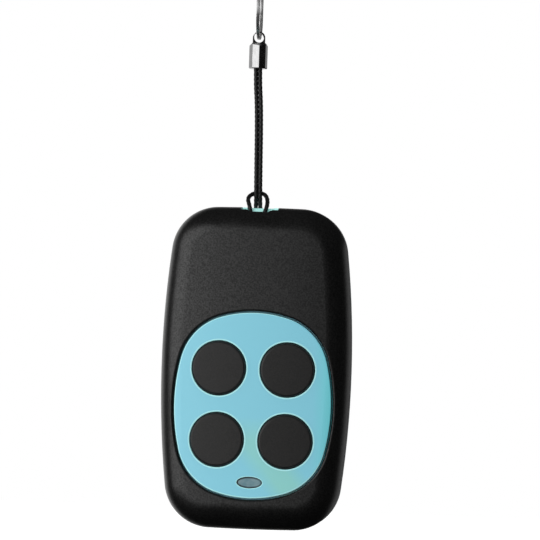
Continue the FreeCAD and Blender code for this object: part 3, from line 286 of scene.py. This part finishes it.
class Finish:
    """One procedural material: a Principled shader with helpers for what feeds it.

    The values it starts with stay on the sockets as plain stand-ins of what is linked to them later.
    """

    def __init__(self, name, color, roughness, **sockets):
        self.material = bpy.data.materials.new(name)
        self.material.use_nodes = True
        self.tree = self.material.node_tree
        self.shader = self.tree.nodes["Principled BSDF"]
        self.shader.inputs["Base Color"].default_value = color
        self.shader.inputs["Roughness"].default_value = roughness
        for socket, value in sockets.items():
            self.shader.inputs[socket.replace("_", " ")].default_value = value
        coordinates = self.tree.nodes.new("ShaderNodeTexCoord")
        self.place = coordinates.outputs["Object"]
        self.facing = coordinates.outputs["Normal"]

    def node(self, kind, **settings):
        made = self.tree.nodes.new(kind)
        for key, value in settings.items():
            setattr(made, key, value)
        return made

    def link(self, output, target):
        self.tree.links.new(output, target)

    def noise(self, size, detail=2.0, stretch=(1.0, 1.0, 1.0)):
        """Noise whose lumps are about one size in metres, drawn out along an axis where asked."""
        scale = self.node("ShaderNodeMapping")
        scale.inputs["Scale"].default_value = tuple(1 / part for part in stretch)
        texture = self.node("ShaderNodeTexNoise")
        texture.inputs["Scale"].default_value = 1 / size
        texture.inputs["Detail"].default_value = detail
        self.link(self.place, scale.inputs["Vector"])
        self.link(scale.outputs[0], texture.inputs["Vector"])
        return texture.outputs["Fac"]

    def ramp(self, value, low, high, start=0.35, end=0.65):
        """A value between start and end, spread from low to high."""
        spread = self.node("ShaderNodeMapRange")
        spread.inputs["From Min"].default_value = start
        spread.inputs["From Max"].default_value = end
        spread.inputs["To Min"].default_value = low
        spread.inputs["To Max"].default_value = high
        self.link(value, spread.inputs["Value"])
        return spread.outputs[0]

    def mix(self, share, first, second):
        """Two colours mixed by a share; either may be a fixed colour or an output."""
        blend = self.node("ShaderNodeMix", data_type="RGBA")
        self.link(share, blend.inputs["Factor"])
        for name, color in (("A", first), ("B", second)):
            socket = [s for s in blend.inputs if s.name == name and s.type == "RGBA"][0]
            if isinstance(color, tuple):
                socket.default_value = color
            else:
                self.link(color, socket)
        return [s for s in blend.outputs if s.type == "RGBA"][0]

    def axis(self, vector, name):
        """One part of a vector, X, Y or Z."""
        split = self.node("ShaderNodeSeparateXYZ")
        self.link(vector, split.inputs[0])
        return split.outputs[name]

    def calculate(self, operation, first, second):
        """One sum on two values; either may be a number or an output."""
        sum_node = self.node("ShaderNodeMath", operation=operation)
        for socket, value in zip(sum_node.inputs, (first, second)):
            if isinstance(value, (int, float)):
                socket.default_value = value
            else:
                self.link(value, socket)
        return sum_node.outputs[0]

    def length(self, first, second):
        """Length of a flat vector."""
        squares = [self.calculate("POWER", part, 2) for part in (first, second)]
        return self.calculate("POWER", self.calculate("ADD", *squares), 0.5)

    def clear_of(self, name, lip):
        """Distance outside the face of a key or lens, in metres; its lip is hidden behind the plate."""
        low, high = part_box(name)
        middle = (low + high) / 2
        half = (high - low) / 2
        shares = []
        slopes = []
        for axis, index in (("X", 0), ("Z", 2)):
            reach = half[index] - lip
            offset = self.calculate("SUBTRACT", self.axis(self.place, axis), middle[index])
            shares.append(self.calculate("DIVIDE", offset, reach))
            slopes.append(self.calculate("DIVIDE", shares[-1], reach))
        size = self.length(*shares)
        beyond = self.calculate("MULTIPLY", self.calculate("SUBTRACT", size, 1), size)
        return self.calculate("DIVIDE", beyond, self.length(*slopes))

    def color(self, output):
        self.link(output, self.shader.inputs["Base Color"])

    def roughness(self, output):
        self.link(output, self.shader.inputs["Roughness"])

    def bump(self, height, depth):
        """Relief of a depth in metres, laid over any relief that is already there."""
        bump = self.node("ShaderNodeBump")
        bump.inputs["Distance"].default_value = depth
        self.link(height, bump.inputs["Height"])
        normal = self.shader.inputs["Normal"]
        if normal.links:
            self.link(normal.links[0].from_socket, bump.inputs["Normal"])
        self.link(bump.outputs[0], normal)


def soft_touch_black():
    """Soft-touch black paint: a deep black with a grey sheen and a fine even grain."""
    finish = Finish("soft_touch_black", srgb(5, 5, 5), 0.34, Specular_IOR_Level=0.65)
    grain = finish.noise(0.3 * MM, 3.0)
    cloud = finish.noise(6 * MM, 2.0)
    finish.color(finish.mix(finish.ramp(grain, 0, 1), srgb(3, 3, 3), srgb(7, 7, 7)))
    finish.link(finish.ramp(grain, *GRAIN_GLOSS), finish.shader.inputs["Specular IOR Level"])
    finish.roughness(finish.ramp(cloud, 0.32, 0.36))
    finish.bump(grain, 0.006 * MM)
    return finish.material


def teal_plastic():
    """Smooth moulded plastic, pale blue green; the paler mint at the strap bar is a painted highlight.

    The plate is greener in a streak. Painted shade turns its right side a more saturated teal and its
    gap walls near black; painted highlights make its rounded edges and the lines round its holes pale.
    """
    finish = Finish("teal_plastic", srgb(125, 196, 214), 0.36, Specular_IOR_Level=0.7)
    across = finish.axis(finish.place, "X")
    height = finish.axis(finish.place, "Z")
    drift = finish.noise(14 * MM, 1.0)
    key_z = sum(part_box("key_lower_right"), Vector())[2] / 2
    lens_x = sum(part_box("indicator_lens"), Vector())[0] / 2
    below_key = finish.calculate("MAXIMUM", finish.calculate("SUBTRACT", key_z, height), 0)
    streak_x = finish.calculate("ADD", finish.calculate("MULTIPLY", below_key, STREAK_LEAN), lens_x)
    offset = finish.calculate("SUBTRACT", across, streak_x)
    streak = finish.ramp(finish.calculate("ABSOLUTE", offset, 0), 1, 0, STREAK_HALF, 3 * STREAK_HALF)
    low_down = finish.ramp(height, 1, 0, key_z, key_z + STREAK_RISE)
    patchy = finish.calculate("MULTIPLY", streak, finish.ramp(drift, 0.7, 1, *STREAK_PATCHES))
    greener = finish.calculate("MULTIPLY", low_down, patchy)
    # Painted shade: right of the lower keys the plate turns a more saturated teal, as where less of the
    # light's sheen falls
    key_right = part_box("key_lower_right")[1][0] - KEY_LIP
    painted_right_shade = finish.ramp(across, 0, 1, key_right, key_right + RIGHT_SHADE_WIDTH)
    blue = finish.mix(painted_right_shade, srgb(120, 195, 214), srgb(99, 202, 208))
    plate = finish.mix(greener, blue, srgb(130, 200, 196))
    # Painted highlights: pale rounded edges where they face left or down, and pale lines round the holes of
    # keys and lens
    outward = finish.axis(finish.facing, "Y")
    lit_side = finish.ramp(finish.axis(finish.facing, "X"), 1, 0, *TURNED_RIGHT)
    painted_highlight = finish.calculate("MULTIPLY", lit_side, finish.ramp(outward, 0, 1, *ROUNDED_SIDE))
    painted_lower_highlight = finish.ramp(finish.axis(finish.facing, "Z"), 1, 0, *ROUNDED_BELOW)
    painted_highlight = finish.calculate("MAXIMUM", painted_highlight, painted_lower_highlight)
    holes = [(name, KEY_LIP, KEY_HIGHLIGHT) for name in nodes if name.startswith("key_")]
    for name, lip, width in [*holes, ("indicator_lens", LENS_LIP, LENS_HIGHLIGHT)]:
        hole_highlight = finish.ramp(finish.clear_of(name, lip), 1, 0, width, width + HIGHLIGHT_FADE)
        painted_highlight = finish.calculate("MAXIMUM", painted_highlight, hole_highlight)
    highlighted = finish.mix(painted_highlight, plate, srgb(176, 240, 243))
    # Painted shade: the walls of the gaps round the plate and its holes turn near black
    painted_gap_shade = finish.mix(finish.ramp(outward, 0, 1, *GAP_WALL), highlighted, srgb(5, 14, 16))
    # Painted highlight: the strap bar, lit from above, turns a paler mint
    case_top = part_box("front_shell")[1][2]
    painted_bar_highlight = finish.ramp(height, 0, 1, case_top - BAR_HIGHLIGHT_START, case_top - BAR_HIGHLIGHT_END)
    finish.color(finish.mix(painted_bar_highlight, painted_gap_shade, srgb(184, 248, 242)))
    finish.roughness(finish.ramp(drift, 0.32, 0.4))
    finish.bump(finish.noise(0.3 * MM, 2.0), 0.004 * MM)
    return finish.material


def key_plastic():
    """Matt black key with a very fine spark-eroded grain."""
    finish = Finish("key_plastic", srgb(20, 20, 20), 0.4, Specular_IOR_Level=0.5)
    grain = finish.noise(0.22 * MM, 3.0)
    finish.color(finish.mix(finish.ramp(grain, 0, 1), srgb(12, 12, 12), srgb(29, 28, 27)))
    finish.bump(grain, 0.008 * MM)
    return finish.material


def smoky_lens():
    """Grey translucent light pipe, a little cloudy, ringed by painted shade that is darkest at the left."""
    finish = Finish("smoky_lens", srgb(140, 156, 160), 0.22, Transmission_Weight=0.35, IOR=1.5)
    cloud = finish.noise(1.2 * MM, 2.0)
    smoke = finish.mix(finish.ramp(cloud, 0, 1), srgb(108, 148, 160), srgb(136, 168, 176))
    low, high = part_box("indicator_lens")
    beyond = finish.clear_of("indicator_lens", LENS_LIP)
    # Painted shade of the gap round the lens: a dark line inside the edge of its face, darkest at the left
    lens_shade = finish.ramp(beyond, 0, 1, -LENS_SHADE_WIDTH, -LENS_SHADE_WIDTH / 3)
    across = finish.axis(finish.place, "X")
    shade_darker_left = finish.ramp(across, 1, LENS_SHADE_AT_RIGHT, low[0] + LENS_LIP, high[0] - LENS_LIP)
    finish.color(finish.mix(finish.calculate("MULTIPLY", lens_shade, shade_darker_left), smoke, srgb(4, 18, 24)))
    finish.bump(finish.noise(0.5 * MM, 1.0), 0.006 * MM)
    return finish.material


def bright_steel(name, rough, smooth, bright, dull):
    """Bright plated metal with faint fine scratches along it."""
    finish = Finish(name, srgb(226, 226, 228), rough, Metallic=1.0)
    scratch = finish.noise(0.12 * MM, 2.0, (1.0, 1.0, 9.0))
    cloud = finish.noise(1.5 * MM, 2.0)
    finish.roughness(finish.ramp(cloud, smooth, rough))
    greys = [srgb(level, level, level) for level in (dull, bright)]
    finish.color(finish.mix(finish.ramp(scratch, 0, 1), *greys))
    finish.bump(scratch, 0.0004 * MM)
    return finish.material


def braided_black():
    """Black thread with a dull sheen and fibres of slightly different tone."""
    finish = Finish("braided_black", srgb(14, 14, 14), 0.38, Specular_IOR_Level=0.5)
    fibre = finish.noise(0.05 * MM, 2.0, (1.0, 1.0, 2.5))
    finish.color(finish.mix(finish.ramp(fibre, 0, 1), srgb(5, 5, 5), srgb(18, 18, 18)))
    finish.bump(fibre, 0.01 * MM)
    return finish.material


def plain_plastic(name, color, roughness):
    """Moulded plastic of an inner piece, with a faint mottle."""
    finish = Finish(name, srgb(*color), roughness)
    mottle = finish.noise(0.3 * MM, 2.0)
    darker = srgb(*(MOTTLE_SHADE * part for part in color))
    finish.color(finish.mix(finish.ramp(mottle, 0, 1), darker, srgb(*color)))
    finish.bump(mottle, 0.005 * MM)
    return finish.material


def plain_metal(name, color, roughness):
    """Metal of an inner piece, lightly brushed."""
    finish = Finish(name, srgb(*color), roughness, Metallic=1.0)
    brushed = finish.noise(0.1 * MM, 2.0, (8.0, 1.0, 1.0))
    finish.roughness(finish.ramp(brushed, roughness - BRUSHED_SMOOTHER, roughness + BRUSHED_ROUGHER))
    finish.bump(brushed, 0.003 * MM)
    return finish.material


def green_board():
    """Green solder mask over woven glass, the weave showing faintly."""
    finish = Finish("green_board", srgb(28, 96, 58), 0.35)
    weave = []
    for axis in ("X", "Z"):
        wave = finish.node("ShaderNodeTexWave", bands_direction=axis)
        wave.inputs["Scale"].default_value = 1 / BOARD_WEAVE
        finish.link(finish.place, wave.inputs["Vector"])
        weave.append(wave.outputs["Fac"])
    crossings = finish.calculate("MULTIPLY", *weave)
    finish.color(finish.mix(crossings, srgb(22, 84, 50), srgb(40, 112, 70)))
    finish.bump(crossings, 0.01 * MM)
    return finish.material


def finish_nodes():
    """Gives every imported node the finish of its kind."""
    switch_black = plain_plastic("switch_black", (30, 30, 32), 0.5)
    finishes = {
        "split_ring": bright_steel("ring_steel", 0.36, 0.3, bright=248, dull=232),
        "crimp_ferrule": bright_steel("ferrule_steel", 0.12, 0.06, bright=206, dull=186),
        "front_shell": soft_touch_black(),
        "inner_frame": teal_plastic(),
        "indicator_lens": smoky_lens(),
        "key_": key_plastic(),
        "switch_base_": switch_black,
        "switch_cover_": plain_metal("switch_steel", (190, 190, 186), 0.3),
        "switch_plunger_": plain_plastic("plunger_tan", (196, 158, 110), 0.5),
        "circuit_board": green_board(),
        "coin_cell": plain_metal("cell_steel", (205, 206, 204), 0.22),
        "battery_c": plain_metal("spring_steel", (198, 192, 170), 0.3),
        "microcontroller": plain_plastic("chip_black", (34, 34, 36), 0.45),
        "crystal_can": plain_metal("can_metal", (196, 198, 200), 0.25),
        "case_screws": plain_metal("screw_steel", (170, 172, 175), 0.28),
        "indicator_led": plain_plastic("led_clear", (222, 216, 200), 0.3),
        "chip_resistors": plain_plastic("resistor_dark", (26, 28, 30), 0.4),
        "chip_capacitors": plain_plastic("capacitor_tan", (176, 146, 108), 0.5),
        "antenna_loop": plain_metal("copper_wire", (198, 128, 84), 0.25),
    }
    same = {
        "rear_shell": "front_shell",
        "memory_chip": "microcontroller",
        "radio_filter": "crystal_can",
        "radio_transistor": "microcontroller",
        "strap_cord": "switch_base_",
    }
    for name, node in nodes.items():
        kind = same.get(name) or [start for start in finishes if name.startswith(start)][0]
        node.data.materials.clear()
        node.data.materials.append(finishes[kind])


# Strap cord

def cord_route():
    """Route of the cord from one end in the ferrule, round the strap bar, to the other end."""
    end_x = STRAND_X * math.cos(FERRULE_TURN)
    end_y = STRAND_X * math.sin(FERRULE_TURN)
    # x of the left strand, x of the right strand, y, and height above the strap bar
    places = (
        (0.1, 0.91, 0.0, 20.0),
        (0.38, 1.16, 0.0, 5.0),
        (0.36, 1.16, 1.3, 1.2),
        (0.2, 1.35, 1.3, -1.3),
        (-0.16, 1.85, -1.35, -1.4),
        (-0.58, 2.78, -1.35, 1.1),
        (-1.3, 2.66, 0.3, 2.75),
        (-0.2, 1.75, 1.5, 3.8),
    )
    left = [(-end_x, -end_y, z) for z in FERRULE_HEIGHTS]
    left += [(x, y, z) for x, _, y, z in places]
    right = [(x, y, z) for _, x, y, z in reversed(places)]
    right += [(end_x, end_y, z) for z in reversed(FERRULE_HEIGHTS)]
    return [Vector((x, y, z + STRAP_BAR_Z)) * MM for x, y, z in left + right]


def smooth_line(route):
    """Points along the NURBS spline that has the route as its control points."""
    data = bpy.data.curves.new("cord_line", "CURVE")
    data.dimensions = "3D"
    data.resolution_u = SPLINE_STEPS
    spline = data.splines.new("NURBS")
    spline.points.add(len(route) - 1)
    for item, place in zip(spline.points, route):
        item.co = (*place, 1.0)
    spline.order_u = 3
    spline.use_endpoint_u = True
    holder = bpy.data.objects.new("cord_line", data)
    mesh = bpy.data.meshes.new_from_object(holder)
    line = [vertex.co.copy() for vertex in mesh.vertices]
    bpy.data.meshes.remove(mesh)
    bpy.data.objects.remove(holder)
    bpy.data.curves.remove(data)
    return line


def evenly(line, step):
    """The same line with points a steady step apart."""
    lengths = [0.0]
    for before, after in zip(line, line[1:]):
        lengths.append(lengths[-1] + (after - before).length)
    count = round(lengths[-1] / step)
    points = []
    index = 0
    for number in range(count + 1):
        along = lengths[-1] * number / count
        while index < len(line) - 2 and lengths[index + 1] < along:
            index += 1
        span = lengths[index + 1] - lengths[index]
        share = (along - lengths[index]) / span
        points.append(line[index].lerp(line[index + 1], share))
    return points


def braid_height(turn, along):
    """Relief of the braid, 0 to 1, at a share of a turn round the cord and a distance along it."""
    rising = turn * BRAID_CARRIERS + along / BRAID_PITCH
    falling = turn * BRAID_CARRIERS - along / BRAID_PITCH
    over = (math.floor(rising) + math.floor(falling)) % 2 == 0
    across, length = (rising, falling) if over else (falling, rising)
    roundness = abs(math.sin(math.pi * across)) ** STRAND_POWER_ACROSS
    return roundness * abs(math.sin(math.pi * length)) ** STRAND_POWER_ALONG


def braided_tube(name, points, radius):
    """Tube round a line whose surface carries the strands of a braid, closed at its ends."""
    vertices = []
    faces = []
    across = Vector((1.0, 0.0, 0.0))
    for index, place in enumerate(points):
        before = points[max(index - 1, 0)]
        after = points[min(index + 1, len(points) - 1)]
        ahead = (after - before).normalized()
        across = (across - ahead * across.dot(ahead)).normalized()
        upward = ahead.cross(across)
        for side in range(BRAID_SIDES):
            turn = side / BRAID_SIDES
            relief = braid_height(turn, index * BRAID_STEP)
            reach = radius - BRAID_RELIEF * (1 - relief)
            angle = 2 * math.pi * turn
            vertices.append(place + reach * (math.cos(angle) * across + math.sin(angle) * upward))
    for index in range(len(points) - 1):
        start = index * BRAID_SIDES
        following = start + BRAID_SIDES
        for side in range(BRAID_SIDES):
            other = (side + 1) % BRAID_SIDES
            faces.append((start + side, start + other, following + other, following + side))
    last = (len(points) - 1) * BRAID_SIDES
    faces.append(tuple(reversed(range(BRAID_SIDES))))
    faces.append(tuple(range(last, last + BRAID_SIDES)))
    data = bpy.data.meshes.new(name)
    data.from_pydata(vertices, [], faces)
    data.polygons.foreach_set("use_smooth", [True] * len(data.polygons))
    tube = bpy.data.objects.new(name, data)
    bpy.context.scene.collection.objects.link(tube)
    return tube


def make_cord():
    """Braided cord that stands for the plain tube, which is hidden."""
    points = evenly(smooth_line(cord_route()), BRAID_STEP)
    cord = braided_tube("braided_strap", points, CORD_DIAMETER / 2)
    cord.data.materials.append(braided_black())
    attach(cord, "strap")
    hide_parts("strap_cord")


aim_camera()
make_cord()
finish_nodes()
light_world()
lay_floor()
add_lamp("left_box", azimuth=-50.5, elevation=9, distance=0.55, width=0.63, height=0.5, watts=1.45)
add_lamp("front_box", azimuth=-7, elevation=5, distance=0.95, width=0.55, height=0.56, watts=0.59)
add_lamp("back_box", azimuth=140, elevation=-8, distance=0.8, width=0.6, height=0.6, watts=0.34)
bpy.context.scene.view_settings.view_transform = "Standard"
